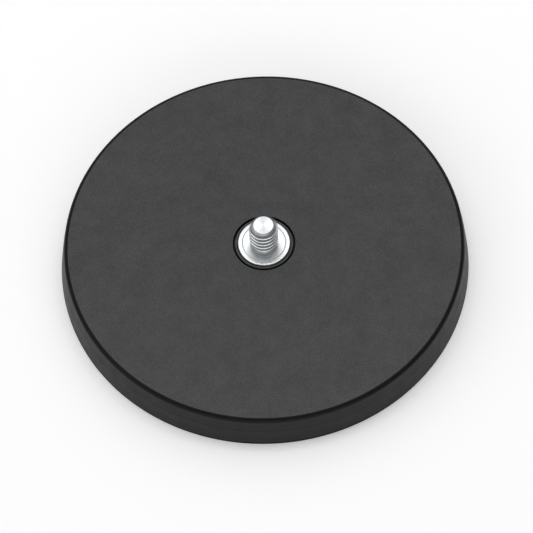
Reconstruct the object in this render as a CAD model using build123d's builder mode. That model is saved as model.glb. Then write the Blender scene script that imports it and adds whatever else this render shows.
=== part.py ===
from build123d import *
import os
from math import cos, radians, tan

# Rubber-covered pot magnet with a short threaded stud.
# Millimetres, +Z up the stud, origin at the centre of the magnetic face.

# ---------------------------------------------------------------- driving dimensions

# rubber jacket
jacket_diameter = 88.0        # near the base, where the wall is widest
jacket_height = 8.5
parting_height = 5.0          # where the two halves of the mould meet
lower_draft = 7.0             # degrees, wall below the parting line
upper_draft = 9.0             # degrees, wall above the parting line
top_edge_radius = 0.9
base_edge_radius = 0.4
parting_groove_depth = 0.08   # witness line that the mould halves leave
parting_groove_width = 0.2
base_skin = 1.0               # rubber between the magnets and the magnetic face
side_cover = 3.0              # rubber outside the steel plate

# rubber round the flange
flange_clearance = 0.1        # radial, between the flange and the lip
lip_width = 0.6
lip_drop = 0.1                # the lip's top lies this far below the jacket's top
groove_width = 0.35

# steel plate
plate_thickness = 2.5
plate_edge_radius = 0.5       # rolled over by the press, on the upper side

# disc magnets
magnet_diameter = 12.0
magnet_thickness = 3.0
magnet_chamfer = 0.2
outer_count = 12
inner_count = 6
rim_margin = 1.5              # steel left outside the outer ring of magnets
pocket_clearance = 0.02       # radial, round each piece that the rubber is moulded on

# threaded stud, quarter-inch, 20 threads to the inch, at its major diameter
thread_diameter = 6.12
stud_reach = 7.6              # above the jacket's top
end_chamfer = 0.95
neck_diameter = 4.6           # thread undercut above the flange
neck_length = 0.75
flange_diameter = 11.2
flange_stand = 0.3            # the flange's top above the jacket's top
flange_edge_radius = 0.2
ring_inset = 0.95             # fine turned line on the flange, in from its rim
ring_width = 0.16
ring_depth = 0.08

# riveted joint between the stud and the plate
shank_diameter = 6.0
tail_diameter = 8.4           # shank end, spread flush into the plate's countersink
tail_depth = 1.2
rivet_clearance = 0.02        # radial

# ---------------------------------------------------------------- worked-out sizes

jacket_radius = jacket_diameter / 2
# the sharp corner stands out by this much, so that the rounded edge has the full diameter
base_corner_excess = base_edge_radius * (tan(radians(lower_draft)) + 1 / cos(radians(lower_draft)) - 1)
base_corner_radius = jacket_radius + base_corner_excess
parting_radius = base_corner_radius - parting_height * tan(radians(lower_draft))
top_radius = parting_radius - (jacket_height - parting_height) * tan(radians(upper_draft))

plate_radius = jacket_radius - side_cover
plate_bottom = base_skin + magnet_thickness
plate_top = plate_bottom + plate_thickness
plate_pocket_radius = plate_radius + pocket_clearance
top_cover = jacket_height - plate_top

magnet_radius = magnet_diameter / 2
tail_radius = tail_diameter / 2
outer_ring_radius = plate_radius - rim_margin - magnet_radius
# the inner ring stands midway between the stud's tail and the outer ring
inner_ring_radius = (tail_radius + outer_ring_radius - magnet_radius) / 2

thread_radius = thread_diameter / 2
neck_radius = neck_diameter / 2
shank_radius = shank_diameter / 2
flange_radius = flange_diameter / 2
flange_top = jacket_height + flange_stand
thread_start = flange_top + neck_length
stud_top = jacket_height + stud_reach

mouth_radius = flange_radius + flange_clearance
lip_radius = mouth_radius + lip_width
groove_radius = lip_radius + groove_width
groove_depth = top_cover / 2

os.makedirs("parts", exist_ok=True)

# ---------------------------------------------------------------- rubber jacket

# One moulding. Its half section wraps round the steel plate, and is turned about the axis.
# The pockets of the magnets are then sunk into the floor of the plate's pocket.
with BuildPart() as rubber_jacket:
    with BuildSketch(Plane.XZ):
        with BuildLine():
            Polyline(
                (0, 0),
                (base_corner_radius, 0),
                (parting_radius, parting_height),
                (top_radius, jacket_height),
                (groove_radius, jacket_height),
                (groove_radius, jacket_height - groove_depth),
                (lip_radius, jacket_height - groove_depth),
                (lip_radius, jacket_height - lip_drop),
                (mouth_radius, jacket_height - lip_drop),
                (mouth_radius, plate_top),
                (plate_pocket_radius, plate_top),
                (plate_pocket_radius, plate_bottom),
                (0, plate_bottom),
                close=True,
            )
        make_face()
        with Locations((parting_radius, parting_height)):
            # the triangle reaches out of the wall, so that it leaves a V of the stated size
            Polygon(
                (-parting_groove_depth, 0),
                (parting_groove_depth, -parting_groove_width),
                (parting_groove_depth, parting_groove_width),
                align=None,
                mode=Mode.SUBTRACT,
            )
    revolve(axis=Axis.Z)
    turned_edges = rubber_jacket.edges().filter_by(GeomType.CIRCLE)
    top_edge = turned_edges.group_by(Axis.Z)[-1].sort_by(SortBy.RADIUS)[-1]
    base_edge = turned_edges.group_by(Axis.Z)[0].sort_by(SortBy.RADIUS)[-1]
    plate_level_edges = turned_edges.filter_by_position(Axis.Z, plate_top, plate_top)
    pocket_edge = plate_level_edges.sort_by(SortBy.RADIUS)[-1]
    fillet(top_edge, top_edge_radius)
    fillet(base_edge, base_edge_radius)
    fillet(pocket_edge, plate_edge_radius)

    # pockets of the magnets, open to the plate
    with BuildSketch(Plane.XY.offset(base_skin)):
        with PolarLocations(outer_ring_radius, outer_count):
            Circle(magnet_radius + pocket_clearance)
        with PolarLocations(inner_ring_radius, inner_count):
            Circle(magnet_radius + pocket_clearance)
    extrude(amount=magnet_thickness, mode=Mode.SUBTRACT)

rubber_jacket.part.label = "rubber_jacket"
export_step(rubber_jacket.part, "parts/rubber_jacket.step")

# ---------------------------------------------------------------- steel plate

with BuildPart() as back_plate:
    with BuildSketch(Plane.XY.offset(plate_bottom)):
        Circle(plate_radius)
    extrude(amount=plate_thickness)
    fillet(back_plate.edges().sort_by(Axis.Z)[-1], plate_edge_radius)
    with BuildSketch(Plane.XZ):
        with BuildLine():
            Polyline(
                (0, plate_bottom),
                (tail_radius + rivet_clearance, plate_bottom),
                (shank_radius + rivet_clearance, plate_bottom + tail_depth),
                (shank_radius + rivet_clearance, plate_top),
                (0, plate_top),
                close=True,
            )
        make_face()
    revolve(axis=Axis.Z, mode=Mode.SUBTRACT)

back_plate.part.label = "back_plate"
export_step(back_plate.part, "parts/back_plate.step")

# ---------------------------------------------------------------- threaded stud

# One turned piece. The thread's helix isn't cut: the shaft has its major diameter.
with BuildPart() as threaded_stud:
    with BuildSketch(Plane.XZ):
        with BuildLine():
            Polyline(
                (0, plate_bottom),
                (tail_radius, plate_bottom),
                (shank_radius, plate_bottom + tail_depth),
                (shank_radius, plate_top),
                (flange_radius, plate_top),
                (flange_radius, flange_top),
                (neck_radius, flange_top),
                (neck_radius, thread_start),
                (thread_radius, thread_start),
                (thread_radius, stud_top),
                (0, stud_top),
                close=True,
            )
        make_face()
        with Locations((flange_radius - ring_inset, flange_top)):
            Rectangle(ring_width, 2 * ring_depth, mode=Mode.SUBTRACT)
    revolve(axis=Axis.Z)
    round_edges = threaded_stud.edges().filter_by(GeomType.CIRCLE)
    chamfer(round_edges.sort_by(Axis.Z)[-1], end_chamfer)
    flange_rim = round_edges.filter_by(lambda e: abs(e.radius - flange_radius) < 0.001)
    fillet(flange_rim.sort_by(Axis.Z)[-1], flange_edge_radius)

threaded_stud.part.label = "threaded_stud"
export_step(threaded_stud.part, "parts/threaded_stud.step")

# ---------------------------------------------------------------- disc magnets


def disc_magnet(name, place):
    """One chamfered disc magnet, standing on the base skin at a place on its ring."""
    with BuildPart() as magnet:
        with BuildSketch(Plane.XY.offset(base_skin)):
            with Locations(place):
                Circle(magnet_radius)
        extrude(amount=magnet_thickness)
        chamfer(magnet.edges().filter_by(GeomType.CIRCLE), magnet_chamfer)
    magnet.part.label = name
    export_step(magnet.part, f"parts/{name}.step")


magnet_rings = {
    "magnet_outer": PolarLocations(outer_ring_radius, outer_count),
    "magnet_inner": PolarLocations(inner_ring_radius, inner_count),
}
for ring_name, ring in magnet_rings.items():
    for number, place in enumerate(ring.local_locations, start=1):
        disc_magnet(f"{ring_name}_{number:02d}", place)
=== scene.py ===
"""A rubber-covered pot magnet with a short threaded stud, lying on a pale studio floor."""

import math

import bpy
from mathutils import Matrix, Vector


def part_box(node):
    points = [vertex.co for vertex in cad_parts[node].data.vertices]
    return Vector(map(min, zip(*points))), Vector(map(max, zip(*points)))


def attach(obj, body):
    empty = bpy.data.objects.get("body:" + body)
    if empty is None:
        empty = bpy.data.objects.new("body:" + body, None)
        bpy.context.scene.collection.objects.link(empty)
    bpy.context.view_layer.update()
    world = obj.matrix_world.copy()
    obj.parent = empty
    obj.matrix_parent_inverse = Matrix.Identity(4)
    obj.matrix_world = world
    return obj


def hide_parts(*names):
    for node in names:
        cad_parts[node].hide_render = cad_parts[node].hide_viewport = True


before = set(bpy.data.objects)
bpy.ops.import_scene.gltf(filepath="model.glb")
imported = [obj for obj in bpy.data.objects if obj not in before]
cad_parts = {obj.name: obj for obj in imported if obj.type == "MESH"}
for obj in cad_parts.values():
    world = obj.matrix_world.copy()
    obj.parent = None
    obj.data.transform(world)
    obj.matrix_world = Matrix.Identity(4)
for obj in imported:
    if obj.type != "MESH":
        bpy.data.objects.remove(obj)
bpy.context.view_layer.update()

MM = 0.001


# ---------------------------------------------------------------- sizes, in millimetres


def box_mm(node):
    """Lowest and highest corner of a CAD node in millimetres, rounded to its real size."""
    low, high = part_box(node)
    return [round(v / MM, 2) for v in low], [round(v / MM, 2) for v in high]


jacket_high = box_mm("rubber_jacket")[1]
stud_high = box_mm("threaded_stud")[1]
plate_low, plate_high = box_mm("back_plate")
magnet_low, magnet_high = box_mm("magnet_outer_01")

JACKET_RADIUS = jacket_high[0]
JACKET_TOP = jacket_high[2]
PLATE_RADIUS = plate_high[0]
PLATE_BOTTOM = plate_low[2]
PLATE_TOP = plate_high[2]
BASE_SKIN = magnet_low[2]
MAGNET_RADIUS = (magnet_high[1] - magnet_low[1]) / 2
FLANGE_RADIUS = stud_high[0]
STUD_TOP = stud_high[2]

# jacket wall and edges
PARTING_HEIGHT = 5.0
LOWER_DRAFT = math.radians(7.0)
UPPER_DRAFT = math.radians(9.0)
TOP_EDGE_RADIUS = 0.9
BASE_EDGE_RADIUS = 0.4
PARTING_DEPTH = 0.03
PARTING_WIDTH = 0.2
PARTING_EDGE_ROUNDING = 0.2
PARTING_ROOT_ROUNDING = 0.08
POCKET_CLEARANCE = 0.02
PLATE_EDGE_RADIUS = 0.5
# painted shade: the band at the foot gets a less reflective copy of the smooth rubber, so it renders
# darker
FOOT_HEIGHT = 0.7          # of the darker band at the foot of the wall

# lip and groove round the flange
FLANGE_CLEARANCE = 0.1
LIP_WIDTH = 0.6
LIP_DROP = 0.1
GROOVE_WIDTH = 0.35
GROOVE_ROOT_ROUNDING = 0.05
LIP_ROUNDING = 0.08

# stud
FLANGE_STAND = 0.3
FLANGE_EDGE_RADIUS = 0.2
RING_INSET = 0.95
RING_WIDTH = 0.16
RING_DEPTH = 0.08
RING_EDGE_ROUNDING = 0.03
RING_ROOT_ROUNDING = 0.02
NECK_RADIUS = 2.3
NECK_LENGTH = 0.75
NECK_FILLET = 0.15
THREAD_RADIUS = 3.06
END_CHAMFER = 0.95
SHANK_RADIUS = 3.0
SHANK_FILLET = 0.1
TAIL_RADIUS = 4.2
TAIL_DEPTH = 1.2
HIDDEN_EDGE_ROUNDING = 0.05

# quarter-inch thread, 20 turns to the inch
THREAD_PITCH = 25.4 / 20
THREAD_DEPTH = 0.56 * THREAD_PITCH
THREAD_CREST = 0.85        # under 1 makes the crests broader than the roots
RUN_OUT_SLOPE = 1.4        # radius gained per millimetre above the neck
THREAD_BLEND = 0.08        # how widely the thread is rounded into the chamfer and the run-out

# studio
FLOOR_RADIUS = 1700.0
RIM_RISE = 350.0
FLOOR_GAP = 0.02           # keeps the floor just clear of the underside
CAMERA_PLACE = Vector((0.0, -355.502, 615.915))
CAMERA_AIM = Vector((0.288, -5.821, 8.5))
CAMERA_ROLL = math.radians(-2.558)
CAMERA_LENS = 221.94

# mesh fineness
JACKET_SEGMENTS = 360
STUD_SEGMENTS = 160
POCKET_SEGMENTS = 64
FLOOR_SEGMENTS = 96
RIM_STEPS = 16
ARC_STEPS = 8
GUARD = 0.04               # distance of the ring that keeps a flat face flat beside a rounded edge
THREAD_ROW = 0.035         # height of one row of the thread's mesh
JACKET_SHARP_ANGLE = 40    # in degrees, above which an edge stays sharp
STUD_SHARP_ANGLE = 50
TOUCHING = 1e-6            # closer than this is the same place
SAME_FACE = 0.005          # a face within this of a level lies on it


# ---------------------------------------------------------------- mesh tools


def rounded_outline(corners):
    """Points of an open outline. Each corner is (r, z, rounding), and a rounding of 0 stays sharp."""
    points = []
    for index, (r, z, rounding) in enumerate(corners):
        corner = Vector((r, z))
        if rounding <= 0 or index in (0, len(corners) - 1):
            points.append(corner)
            continue
        before = (Vector(corners[index - 1][:2]) - corner).normalized()
        after = (Vector(corners[index + 1][:2]) - corner).normalized()
        half_angle = before.angle(after) / 2
        reach = rounding / math.tan(half_angle)
        centre = corner + (before + after).normalized() * (rounding / math.sin(half_angle))
        start = corner + before * reach
        end = corner + after * reach
        turn = (start - centre).angle_signed(end - centre)
        guard = min(GUARD, reach / 2)
        points.append(start + before * guard)
        for step in range(ARC_STEPS + 1):
            spoke = (start - centre).copy()
            spoke.rotate(Matrix.Rotation(-turn * step / ARC_STEPS, 2))
            points.append(centre + spoke)
        points.append(end + after * guard)
    return points


def lathe(name, outline, segments, radius_at=None):
    """Mesh turned about Z. It is closed at each end of the outline that lies on the axis.

    radius_at(r, z, angle) may change a point's radius, as a thread does.
    """
    vertices = []
    faces = []
    rings = []
    for r, z in outline:
        ring = []
        count = 1 if r < TOUCHING else segments
        for k in range(count):
            angle = 2 * math.pi * k / segments
            radius = radius_at(r, z, angle) if radius_at and r > TOUCHING else r
            ring.append(len(vertices))
            vertices.append((radius * math.cos(angle) * MM, radius * math.sin(angle) * MM, z * MM))
        rings.append(ring)
    for low, high in zip(rings, rings[1:]):
        for k in range(segments):
            after = (k + 1) % segments
            if len(low) == 1:
                faces.append((low[0], high[after], high[k]))
            elif len(high) == 1:
                faces.append((low[k], low[after], high[0]))
            else:
                faces.append((low[k], low[after], high[after], high[k]))
    mesh = bpy.data.meshes.new(name)
    mesh.from_pydata(vertices, [], faces)
    mesh.validate()
    mesh.update()
    piece = bpy.data.objects.new(name, mesh)
    bpy.context.scene.collection.objects.link(piece)
    return piece


def smooth_by_angle(piece, degrees):
    """Smooth shading, with edges sharper than the angle left sharp."""
    piece.data.shade_smooth()
    piece.data.set_sharp_from_angle(angle=math.radians(degrees))


def cut_out(piece, cutter):
    """Takes the cutter out of the piece, and removes the cutter."""
    modifier = piece.modifiers.new("cut", "BOOLEAN")
    modifier.operation = "DIFFERENCE"
    modifier.solver = "EXACT"
    modifier.object = cutter
    evaluated = piece.evaluated_get(bpy.context.evaluated_depsgraph_get())
    mesh = bpy.data.meshes.new_from_object(evaluated)
    piece.modifiers.clear()
    old_mesh = piece.data
    piece.data = mesh
    mesh.name = old_mesh.name + "_cut"
    bpy.data.meshes.remove(old_mesh)
    bpy.data.objects.remove(cutter)


# ---------------------------------------------------------------- rubber jacket


def jacket_outline():
    """Half section of the jacket: underside, wall, top, groove, lip, and the plate's pocket."""
    corner_excess = BASE_EDGE_RADIUS * (math.tan(LOWER_DRAFT) + 1 / math.cos(LOWER_DRAFT) - 1)
    base_radius = JACKET_RADIUS + corner_excess
    parting_radius = base_radius - PARTING_HEIGHT * math.tan(LOWER_DRAFT)
    top_radius = parting_radius - (JACKET_TOP - PARTING_HEIGHT) * math.tan(UPPER_DRAFT)
    mouth = FLANGE_RADIUS + FLANGE_CLEARANCE
    lip = mouth + LIP_WIDTH
    groove = lip + GROOVE_WIDTH
    groove_bottom = JACKET_TOP - (JACKET_TOP - PLATE_TOP) / 2
    lip_top = JACKET_TOP - LIP_DROP
    pocket = PLATE_RADIUS + POCKET_CLEARANCE
    half_width = PARTING_WIDTH / 2
    return rounded_outline([
        (0, 0, 0),
        (base_radius, 0, BASE_EDGE_RADIUS),
        (base_radius - FOOT_HEIGHT * math.tan(LOWER_DRAFT), FOOT_HEIGHT, 0),
        (parting_radius + half_width * math.tan(LOWER_DRAFT), PARTING_HEIGHT - half_width,
         PARTING_EDGE_ROUNDING),
        (parting_radius - PARTING_DEPTH, PARTING_HEIGHT, PARTING_ROOT_ROUNDING),
        (parting_radius - half_width * math.tan(UPPER_DRAFT), PARTING_HEIGHT + half_width,
         PARTING_EDGE_ROUNDING),
        (top_radius, JACKET_TOP, TOP_EDGE_RADIUS),
        (groove, JACKET_TOP, LIP_ROUNDING),
        (groove, groove_bottom, GROOVE_ROOT_ROUNDING),
        (lip, groove_bottom, GROOVE_ROOT_ROUNDING),
        (lip, lip_top, LIP_ROUNDING),
        (mouth, lip_top, LIP_ROUNDING),
        (mouth, PLATE_TOP, 0),
        (pocket, PLATE_TOP, PLATE_EDGE_RADIUS),
        (pocket, PLATE_BOTTOM, 0),
        (0, PLATE_BOTTOM, 0),
    ])


def magnet_nodes():
    """Names of the magnets' CAD nodes."""
    return sorted(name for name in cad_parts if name.startswith("magnet"))


def magnet_pockets():
    """One mesh of all the magnets' pockets, which reach up into the plate's pocket."""
    ceiling = (PLATE_BOTTOM + PLATE_TOP) / 2
    radius = MAGNET_RADIUS + POCKET_CLEARANCE
    vertices = []
    faces = []
    for node in magnet_nodes():
        low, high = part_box(node)
        centre = (low + high) / 2
        first = len(vertices)
        for z in (BASE_SKIN, ceiling):
            for k in range(POCKET_SEGMENTS):
                angle = 2 * math.pi * k / POCKET_SEGMENTS
                x = centre.x + radius * MM * math.cos(angle)
                y = centre.y + radius * MM * math.sin(angle)
                vertices.append((x, y, z * MM))
        lower = range(first, first + POCKET_SEGMENTS)
        upper = range(first + POCKET_SEGMENTS, first + 2 * POCKET_SEGMENTS)
        faces.append(tuple(reversed(lower)))
        faces.append(tuple(upper))
        for k in range(POCKET_SEGMENTS):
            after = (k + 1) % POCKET_SEGMENTS
            faces.append((lower[k], lower[after], upper[after], upper[k]))
    mesh = bpy.data.meshes.new("pockets")
    mesh.from_pydata(vertices, [], faces)
    cutter = bpy.data.objects.new("pockets", mesh)
    bpy.context.scene.collection.objects.link(cutter)
    return cutter


# the jacket's material slots
GRAINED, WALL, EDGE, FOOT = range(4)
LEVEL_NORMAL = 0.99        # a face whose normal is this upright is flat
DRAFT_MARGIN = 0.01        # a wall's normal leans no more than its draft and this


def finish_of(face):
    """Grained on the flat top, the lip's top and the underside, and smooth on the wall and the edges."""
    radius = math.hypot(face.center.x, face.center.y) / MM
    height = face.center.z / MM
    levels = (0, JACKET_TOP - LIP_DROP, JACKET_TOP)
    on_level = any(abs(height - level) < SAME_FACE for level in levels)
    if on_level and abs(face.normal.z) > LEVEL_NORMAL:
        return GRAINED
    # painted shade: the foot band gets its own, less reflective copy of the smooth rubber
    if radius > PLATE_RADIUS and height < FOOT_HEIGHT:
        return FOOT
    on_wall = radius > PLATE_RADIUS and abs(face.normal.z) < math.sin(UPPER_DRAFT) + DRAFT_MARGIN
    return WALL if on_wall else EDGE


def build_jacket(materials):
    """The moulding, with one material for each finish, in the order of the slots above."""
    jacket = lathe("jacket_moulding", jacket_outline(), JACKET_SEGMENTS)
    cut_out(jacket, magnet_pockets())
    smooth_by_angle(jacket, JACKET_SHARP_ANGLE)
    jacket.data.materials.clear()
    for material in materials:
        jacket.data.materials.append(material)
    for face in jacket.data.polygons:
        face.material_index = finish_of(face)
    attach(jacket, "root")
    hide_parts("rubber_jacket")


# ---------------------------------------------------------------- threaded stud


def smooth_least(a, b, blend):
    """The lesser of two numbers, rounded over where they are close."""
    h = max(blend - abs(a - b), 0) / blend
    return min(a, b) - h * h * blend / 4


def thread_radius(z, angle):
    """Radius of a right-hand rolled thread's surface at a height and an angle about the axis."""
    turns = z / THREAD_PITCH - angle / (2 * math.pi)
    wave = (1 + math.cos(2 * math.pi * turns)) / 2
    return THREAD_RADIUS - THREAD_DEPTH * (1 - wave ** THREAD_CREST)


def stud_outline():
    """Half section of the stud, from its riveted tail up to its end face."""
    flange_top = JACKET_TOP + FLANGE_STAND
    thread_start = flange_top + NECK_LENGTH
    ring = FLANGE_RADIUS - RING_INSET
    half_ring = RING_WIDTH / 2
    lower = rounded_outline([
        (0, PLATE_BOTTOM, 0),
        (TAIL_RADIUS, PLATE_BOTTOM, HIDDEN_EDGE_ROUNDING),
        (SHANK_RADIUS, PLATE_BOTTOM + TAIL_DEPTH, SHANK_FILLET),
        (SHANK_RADIUS, PLATE_TOP, 0),
        (FLANGE_RADIUS, PLATE_TOP, HIDDEN_EDGE_ROUNDING),
        (FLANGE_RADIUS, flange_top, FLANGE_EDGE_RADIUS),
        (ring + half_ring, flange_top, RING_EDGE_ROUNDING),
        (ring, flange_top - RING_DEPTH, RING_ROOT_ROUNDING),
        (ring - half_ring, flange_top, RING_EDGE_ROUNDING),
        (NECK_RADIUS, flange_top, NECK_FILLET),
        (NECK_RADIUS, thread_start, 0),
    ])
    rows = math.ceil((STUD_TOP - thread_start) / THREAD_ROW)
    shaft = []
    for row in range(1, rows):
        z = thread_start + (STUD_TOP - thread_start) * row / rows
        shaft.append(Vector((THREAD_RADIUS, z)))
    end_radius = THREAD_RADIUS - END_CHAMFER
    end_face = [
        Vector((end_radius, STUD_TOP)),
        Vector((end_radius - 2 * GUARD, STUD_TOP)),
        Vector((0, STUD_TOP)),
    ]
    return lower + shaft + end_face


def stud_radius_at(r, z, angle):
    """Turns the plain shaft into the thread, run out at the neck and cut by the end chamfer."""
    thread_start = JACKET_TOP + FLANGE_STAND + NECK_LENGTH
    if z <= thread_start + TOUCHING or z >= STUD_TOP - TOUCHING:
        return r
    chamfer = THREAD_RADIUS - END_CHAMFER + (STUD_TOP - z)
    run_out = NECK_RADIUS + (z - thread_start) * RUN_OUT_SLOPE
    chamfered = smooth_least(thread_radius(z, angle), chamfer, THREAD_BLEND)
    return smooth_least(chamfered, run_out, THREAD_BLEND)


def build_stud(material):
    """The turned stud, with its helical thread."""
    stud = lathe("stud_turning", stud_outline(), STUD_SEGMENTS, stud_radius_at)
    smooth_by_angle(stud, STUD_SHARP_ANGLE)
    stud.data.materials.append(material)
    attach(stud, "root")
    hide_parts("threaded_stud")


# ---------------------------------------------------------------- materials

NOISE_LOW = 0.3            # nearly all of a noise lies between these two
NOISE_HIGH = 0.7

# rubber
GRAIN_PER_MM = 3.3
CLOUDS_PER_MM = 0.2
GRAIN_TONE = 0.43          # how far the grain and the clouds shift the colour
CLOUD_TONE = 0.165
BLACK = (0, 0, 0)
GRAINED_GREY = (0.0572, 0.0582, 0.0606)
SMOOTH_DARK = (0.003, 0.003, 0.0035)
SMOOTH_LIGHT = (0.006, 0.006, 0.0065)

# zinc
ZINC_DARK = (0.74, 0.765, 0.78)
ZINC_LIGHT = (0.82, 0.845, 0.855)
# painted shade: dark colour blended into the thread's recesses and the flange's ring groove
ZINC_PAINTED_SHADE = (0.16, 0.17, 0.18)
TURNING_PER_MM = 7
SHAFT_FROM = 0.9           # heights above the jacket between which the thread's finish sets in
SHAFT_FULL = 1.3
END_FROM = 0.08            # depths below the end face between which the thread's finish ends
END_FULL = 0.02
RECESS_FROM = 0.05         # depths below the thread's crests between which painted shade darkens it and it turns a little rougher
RECESS_FULL = 0.34
# how strongly painted shade darkens the thread's recesses and the flange's ring groove
RECESS_PAINTED_SHADE = 0.75
RING_PAINTED_SHADE = 0.45

# hidden metal
STREAKS_PER_MM = (0.15, 3.0, 3.0)
STEEL_DARK = (0.38, 0.38, 0.39)
STEEL_LIGHT = (0.50, 0.50, 0.51)
NICKEL_DARK = (0.62, 0.60, 0.56)
NICKEL_LIGHT = (0.74, 0.72, 0.68)

# floor
PAPER_DARK = (0.91, 0.91, 0.91)
PAPER_LIGHT = (0.93, 0.93, 0.93)
FLOOR_LIFT = 0.22          # light added for camera, mirror and transmission rays near the part
RIM_LIFT = 0.62            # and far out
LIFT_FROM = 0.5            # shares of the floor's radius between which it changes
LIFT_FULL = 0.9


class Shader:
    """Node tree of one material, with short calls for the nodes that the materials here share."""

    def __init__(self, name):
        self.material = bpy.data.materials.new(name)
        self.material.use_nodes = True
        self.tree = self.material.node_tree
        self.tree.nodes.clear()
        self.output = self.tree.nodes.new("ShaderNodeOutputMaterial")

    def node(self, kind, **settings):
        """A new node with its settings."""
        made = self.tree.nodes.new(kind)
        for key, value in settings.items():
            setattr(made, key, value)
        return made

    def link(self, source, target):
        """Joins an output to an input."""
        self.tree.links.new(source, target)

    def principled(self):
        """The surface node, joined to the output."""
        made = self.node("ShaderNodeBsdfPrincipled")
        self.link(made.outputs["BSDF"], self.output.inputs["Surface"])
        return made

    def millimetres(self):
        """Object coordinates in millimetres."""
        coordinates = self.node("ShaderNodeTexCoord")
        scale = self.node("ShaderNodeVectorMath", operation="SCALE")
        scale.inputs["Scale"].default_value = 1 / MM
        self.link(coordinates.outputs["Object"], scale.inputs[0])
        return scale.outputs["Vector"]

    def noise(self, vector, per_mm, detail=2.0, roughness=0.5):
        """Soft random pattern with about so many waves to the millimetre."""
        made = self.node("ShaderNodeTexNoise")
        made.inputs["Scale"].default_value = per_mm
        made.inputs["Detail"].default_value = detail
        made.inputs["Roughness"].default_value = roughness
        self.link(vector, made.inputs["Vector"])
        return made.outputs["Fac"]

    def math(self, operation, first, second=None, third=None):
        """Arithmetic on numbers and sockets."""
        made = self.node("ShaderNodeMath", operation=operation)
        for socket, value in zip(made.inputs, (first, second, third)):
            if value is None:
                continue
            if isinstance(value, (int, float)):
                socket.default_value = value
            else:
                self.link(value, socket)
        return made.outputs["Value"]

    def remap(self, value, from_low, from_high, to_low, to_high, smooth=False):
        """A value moved from one range to another, and held within it."""
        made = self.node("ShaderNodeMapRange")
        made.interpolation_type = "SMOOTHSTEP" if smooth else "LINEAR"
        self.link(value, made.inputs["Value"])
        made.inputs["From Min"].default_value = from_low
        made.inputs["From Max"].default_value = from_high
        made.inputs["To Min"].default_value = to_low
        made.inputs["To Max"].default_value = to_high
        return made.outputs["Result"]

    def spread(self, noise, low, high):
        """A noise spread over a range."""
        return self.remap(noise, NOISE_LOW, NOISE_HIGH, low, high)

    def blend(self, factor, first, second):
        """Colour between two, each of them three numbers or a socket."""
        made = self.node("ShaderNodeMix", data_type="RGBA")
        self.link(factor, made.inputs["Factor"])
        # sockets 6 and 7 are the colours A and B, and output 2 is the colour between them
        for socket, colour in ((made.inputs[6], first), (made.inputs[7], second)):
            if isinstance(colour, tuple):
                socket.default_value = (*colour, 1)
            else:
                self.link(colour, socket)
        return made.outputs[2]

    def bump(self, height, distance_mm, strength):
        """Normal of a surface that rises and falls with a pattern."""
        made = self.node("ShaderNodeBump")
        made.inputs["Strength"].default_value = strength
        made.inputs["Distance"].default_value = distance_mm * MM
        self.link(height, made.inputs["Height"])
        return made.outputs["Normal"]

    def radius_and_height(self, vector):
        """Distance from the Z axis and height, both in millimetres."""
        flat = self.node("ShaderNodeVectorMath", operation="MULTIPLY")
        self.link(vector, flat.inputs[0])
        flat.inputs[1].default_value = (1, 1, 0)
        length = self.node("ShaderNodeVectorMath", operation="LENGTH")
        self.link(flat.outputs["Vector"], length.inputs[0])
        split = self.node("ShaderNodeSeparateXYZ")
        self.link(vector, split.inputs[0])
        return length.outputs["Value"], split.outputs["Z"]


def grained_rubber_material():
    """Black rubber moulded against a fine grain, which scatters light and looks dark grey."""
    shader = Shader("grained_rubber")
    surface = shader.principled()
    place = shader.millimetres()
    grain = shader.noise(place, GRAIN_PER_MM, detail=2, roughness=0.7)
    clouds = shader.noise(place, CLOUDS_PER_MM, detail=3, roughness=0.95)
    tone = shader.math("MULTIPLY_ADD", shader.spread(grain, -1, 1), GRAIN_TONE, 0.5)
    tone = shader.math("MULTIPLY_ADD", shader.spread(clouds, -1, 1), CLOUD_TONE, tone)
    shader.link(shader.blend(tone, BLACK, GRAINED_GREY), surface.inputs["Base Color"])
    shader.link(shader.spread(grain, 0.46, 0.54), surface.inputs["Roughness"])
    surface.inputs["IOR"].default_value = 1.47
    shader.link(shader.bump(grain, distance_mm=0.02, strength=0.4), surface.inputs["Normal"])
    return shader.material


def smooth_rubber_material(name, index_of_refraction, roughness):
    """The same rubber where the mould is polished: nearly black, with a soft gloss."""
    shader = Shader(name)
    surface = shader.principled()
    place = shader.millimetres()
    drift = shader.noise(place, 0.35)
    shader.link(shader.blend(drift, SMOOTH_DARK, SMOOTH_LIGHT), surface.inputs["Base Color"])
    shader.link(shader.spread(drift, roughness - 0.04, roughness + 0.04), surface.inputs["Roughness"])
    surface.inputs["IOR"].default_value = index_of_refraction
    pores = shader.noise(place, 3.0)
    shader.link(shader.bump(pores, distance_mm=0.004, strength=0.3), surface.inputs["Normal"])
    return shader.material


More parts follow.
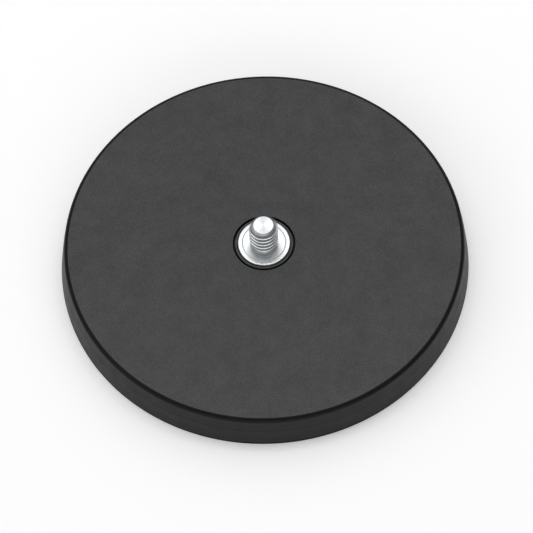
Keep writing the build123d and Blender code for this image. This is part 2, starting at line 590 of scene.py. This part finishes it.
def zinc_zones(shader, radius, height):
    """Two masks: 1 on the thread, and up to 1 where painted shade darkens the thread's recesses and the
    flange's ring groove.
    """
    above_flange = shader.remap(height, JACKET_TOP + SHAFT_FROM, JACKET_TOP + SHAFT_FULL, 0, 1)
    below_end = shader.remap(height, STUD_TOP - END_FROM, STUD_TOP - END_FULL, 1, 0)
    shaft = shader.math("MULTIPLY", above_flange, below_end)
    # painted shade: the thread darkens with depth below its crests, where its grooves lie in shade
    recess = shader.remap(
        radius, THREAD_RADIUS - RECESS_FULL, THREAD_RADIUS - RECESS_FROM, 1, 0, smooth=True)
    painted_recess_shade = shader.math("MULTIPLY", shaft, shader.math("MULTIPLY", recess, RECESS_PAINTED_SHADE))
    # painted shade: the flange's ring groove darkens
    from_ring = shader.math("ABSOLUTE", shader.math("SUBTRACT", radius, FLANGE_RADIUS - RING_INSET))
    in_ring = shader.remap(from_ring, RING_WIDTH / 2, RING_WIDTH, RING_PAINTED_SHADE, 0)
    on_flange = shader.math("SUBTRACT", 1, above_flange)
    painted_ring_shade = shader.math("MULTIPLY", in_ring, on_flange)
    return shaft, shader.math("MAXIMUM", painted_recess_shade, painted_ring_shade)


def turned_rings(shader, radius, height):
    """Noise that depends on radius and height alone, as a lathe's marks do."""
    turning = shader.node("ShaderNodeCombineXYZ")
    shader.link(shader.math("MULTIPLY", radius, TURNING_PER_MM), turning.inputs["X"])
    shader.link(shader.math("MULTIPLY", height, TURNING_PER_MM), turning.inputs["Y"])
    return shader.noise(turning.outputs["Vector"], 1.0, detail=3, roughness=0.6)


def zinc_material():
    """Bright zinc plating over turned steel: fine rings round the axis, and painted shade that darkens
    the thread's recesses and the flange's ring groove, which are also a little rougher.
    """
    shader = Shader("bright_zinc")
    surface = shader.principled()
    place = shader.millimetres()
    radius, height = shader.radius_and_height(place)
    grain = shader.noise(place, 2.5, detail=3)
    shaft, painted_shade_and_dullness = zinc_zones(shader, radius, height)

    surface.inputs["Metallic"].default_value = 0.9
    bright = shader.blend(grain, ZINC_DARK, ZINC_LIGHT)
    # painted shade: the recesses and the ring groove take the dark colour, and are a little rougher
    shader.link(shader.blend(painted_shade_and_dullness, bright, ZINC_PAINTED_SHADE), surface.inputs["Base Color"])
    rough = shader.math("MULTIPLY_ADD", shaft, -0.07, shader.spread(grain, 0.29, 0.35))
    shader.link(shader.math("MULTIPLY_ADD", painted_shade_and_dullness, 0.05, rough), surface.inputs["Roughness"])

    # the rings run round the axis and are fainter on the thread
    ring_height = shader.math("MULTIPLY_ADD", shaft, -0.8, 1)
    rings = shader.math("MULTIPLY", turned_rings(shader, radius, height), ring_height)
    shader.link(shader.bump(rings, distance_mm=0.004, strength=0.4), surface.inputs["Normal"])
    around = shader.node("ShaderNodeTangent", direction_type="RADIAL", axis="Z")
    shader.link(around.outputs["Tangent"], surface.inputs["Tangent"])
    surface.inputs["Anisotropic"].default_value = 0.7
    return shader.material


def inner_metal_material(name, dark, light, roughness):
    """Plain metal of a piece inside the jacket, with the streaks of rolled or plated stock."""
    shader = Shader(name)
    surface = shader.principled()
    place = shader.millimetres()
    stretch = shader.node("ShaderNodeVectorMath", operation="MULTIPLY")
    shader.link(place, stretch.inputs[0])
    stretch.inputs[1].default_value = STREAKS_PER_MM
    streaks = shader.noise(stretch.outputs["Vector"], 1.0, detail=4)
    spots = shader.noise(place, 1.2, detail=3)
    surface.inputs["Metallic"].default_value = 1
    shader.link(shader.blend(streaks, dark, light), surface.inputs["Base Color"])
    shader.link(shader.spread(spots, roughness - 0.08, roughness + 0.08), surface.inputs["Roughness"])
    shader.link(shader.bump(streaks, distance_mm=0.01, strength=0.3), surface.inputs["Normal"])
    return shader.material


def floor_material():
    """White studio floor that keeps the shadow. Camera, mirror and transmission rays see it lifted."""
    shader = Shader("studio_floor")
    place = shader.millimetres()
    fibres = shader.noise(place, 0.6)
    paper = shader.node("ShaderNodeBsdfDiffuse")
    shader.link(shader.blend(fibres, PAPER_DARK, PAPER_LIGHT), paper.inputs["Color"])
    path = shader.node("ShaderNodeLightPath")
    seen = shader.math("MAXIMUM", path.outputs["Is Camera Ray"], path.outputs["Is Glossy Ray"])
    seen = shader.math("MAXIMUM", seen, path.outputs["Is Transmission Ray"])
    radius = shader.radius_and_height(place)[0]
    white = shader.remap(
        radius, FLOOR_RADIUS * LIFT_FROM, FLOOR_RADIUS * LIFT_FULL, FLOOR_LIFT, RIM_LIFT, smooth=True)
    lift = shader.node("ShaderNodeEmission")
    shader.link(shader.math("MULTIPLY", seen, white), lift.inputs["Strength"])
    both = shader.node("ShaderNodeAddShader")
    shader.link(paper.outputs["BSDF"], both.inputs[0])
    shader.link(lift.outputs["Emission"], both.inputs[1])
    shader.link(both.outputs["Shader"], shader.output.inputs["Surface"])
    return shader.material


# ---------------------------------------------------------------- stage, lights and camera


def build_floor():
    """Round studio floor whose rim curves up, so that a low view looks at paper too."""
    outline = [Vector((0, 0)), Vector((FLOOR_RADIUS, 0))]
    for step in range(1, RIM_STEPS + 1):
        angle = math.pi / 2 * step / RIM_STEPS
        radius = FLOOR_RADIUS + RIM_RISE * math.sin(angle)
        outline.append(Vector((radius, RIM_RISE * (1 - math.cos(angle)))))
    floor = lathe("studio_floor", outline, FLOOR_SEGMENTS)
    floor.data.shade_smooth()
    floor.location.z = -FLOOR_GAP * MM
    floor.data.materials.append(floor_material())


def softbox(name, direction, distance, width, height, radiance):
    """A rectangular lamp that faces the origin. Distance and size are in metres.

    Its radiance is its brightness as a mirror shows it.
    """
    lamp = bpy.data.lights.new(name, "AREA")
    lamp.shape = "RECTANGLE"
    lamp.size = width
    lamp.size_y = height
    lamp.energy = radiance * math.pi * width * height
    made = bpy.data.objects.new(name, lamp)
    bpy.context.scene.collection.objects.link(made)
    made.location = Vector(direction).normalized() * distance
    made.rotation_euler = Vector(direction).to_track_quat("Z", "Y").to_euler()


def build_world(strength):
    """Soft even light from all round."""
    world = bpy.data.worlds.new("studio")
    world.use_nodes = True
    background = world.node_tree.nodes["Background"]
    background.inputs["Color"].default_value = (1, 1, 1, 1)
    background.inputs["Strength"].default_value = strength
    bpy.context.scene.world = world


def build_camera():
    """Camera at the photo's angle, rolled a little about its line of sight."""
    camera = bpy.data.cameras.new("camera")
    camera.lens = CAMERA_LENS
    camera.sensor_width = 36
    camera.clip_start = 0.01
    camera.clip_end = 20
    made = bpy.data.objects.new("camera", camera)
    bpy.context.scene.collection.objects.link(made)
    place = CAMERA_PLACE * MM
    level = (place - CAMERA_AIM * MM).to_track_quat("Z", "Y").to_matrix()
    turned = level @ Matrix.Rotation(CAMERA_ROLL, 3, "Z")
    made.matrix_world = Matrix.Translation(place) @ turned.to_4x4()
    bpy.context.scene.camera = made


# ---------------------------------------------------------------- the scene

build_jacket([
    grained_rubber_material(),
    smooth_rubber_material("wall_rubber", index_of_refraction=1.32, roughness=0.5),
    # painted shade: the edge and foot copies reflect less than the wall, with a lower index of
    # refraction, so the top edge's rounding and the foot render darker
    smooth_rubber_material("edge_rubber", index_of_refraction=1.22, roughness=0.38),
    smooth_rubber_material("foot_rubber", index_of_refraction=1.12, roughness=0.55),
])
build_stud(zinc_material())

steel = inner_metal_material("rolled_steel", STEEL_DARK, STEEL_LIGHT, roughness=0.42)
nickel = inner_metal_material("nickel_plate", NICKEL_DARK, NICKEL_LIGHT, roughness=0.25)
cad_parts["back_plate"].data.materials[0] = steel
for magnet in magnet_nodes():
    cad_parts[magnet].data.materials[0] = nickel

build_floor()
build_world(strength=0.30)
softbox("key_softbox", (-0.05, 0.577, 1.0), distance=1.0, width=1.9, height=1.4, radiance=0.61)
softbox("overhead_softbox", (0.0, 0.24, 1.0), distance=1.0, width=0.7, height=0.2, radiance=4.5)
softbox("front_card", (0.0, -1.0, 0.32), distance=1.6, width=2.72, height=0.96, radiance=1.15)
softbox("left_softbox", (-1.0, -0.3, 0.45), distance=1.6, width=1.28, height=0.8, radiance=1.0)
build_camera()

view = bpy.context.scene.view_settings
view.view_transform = "Standard"
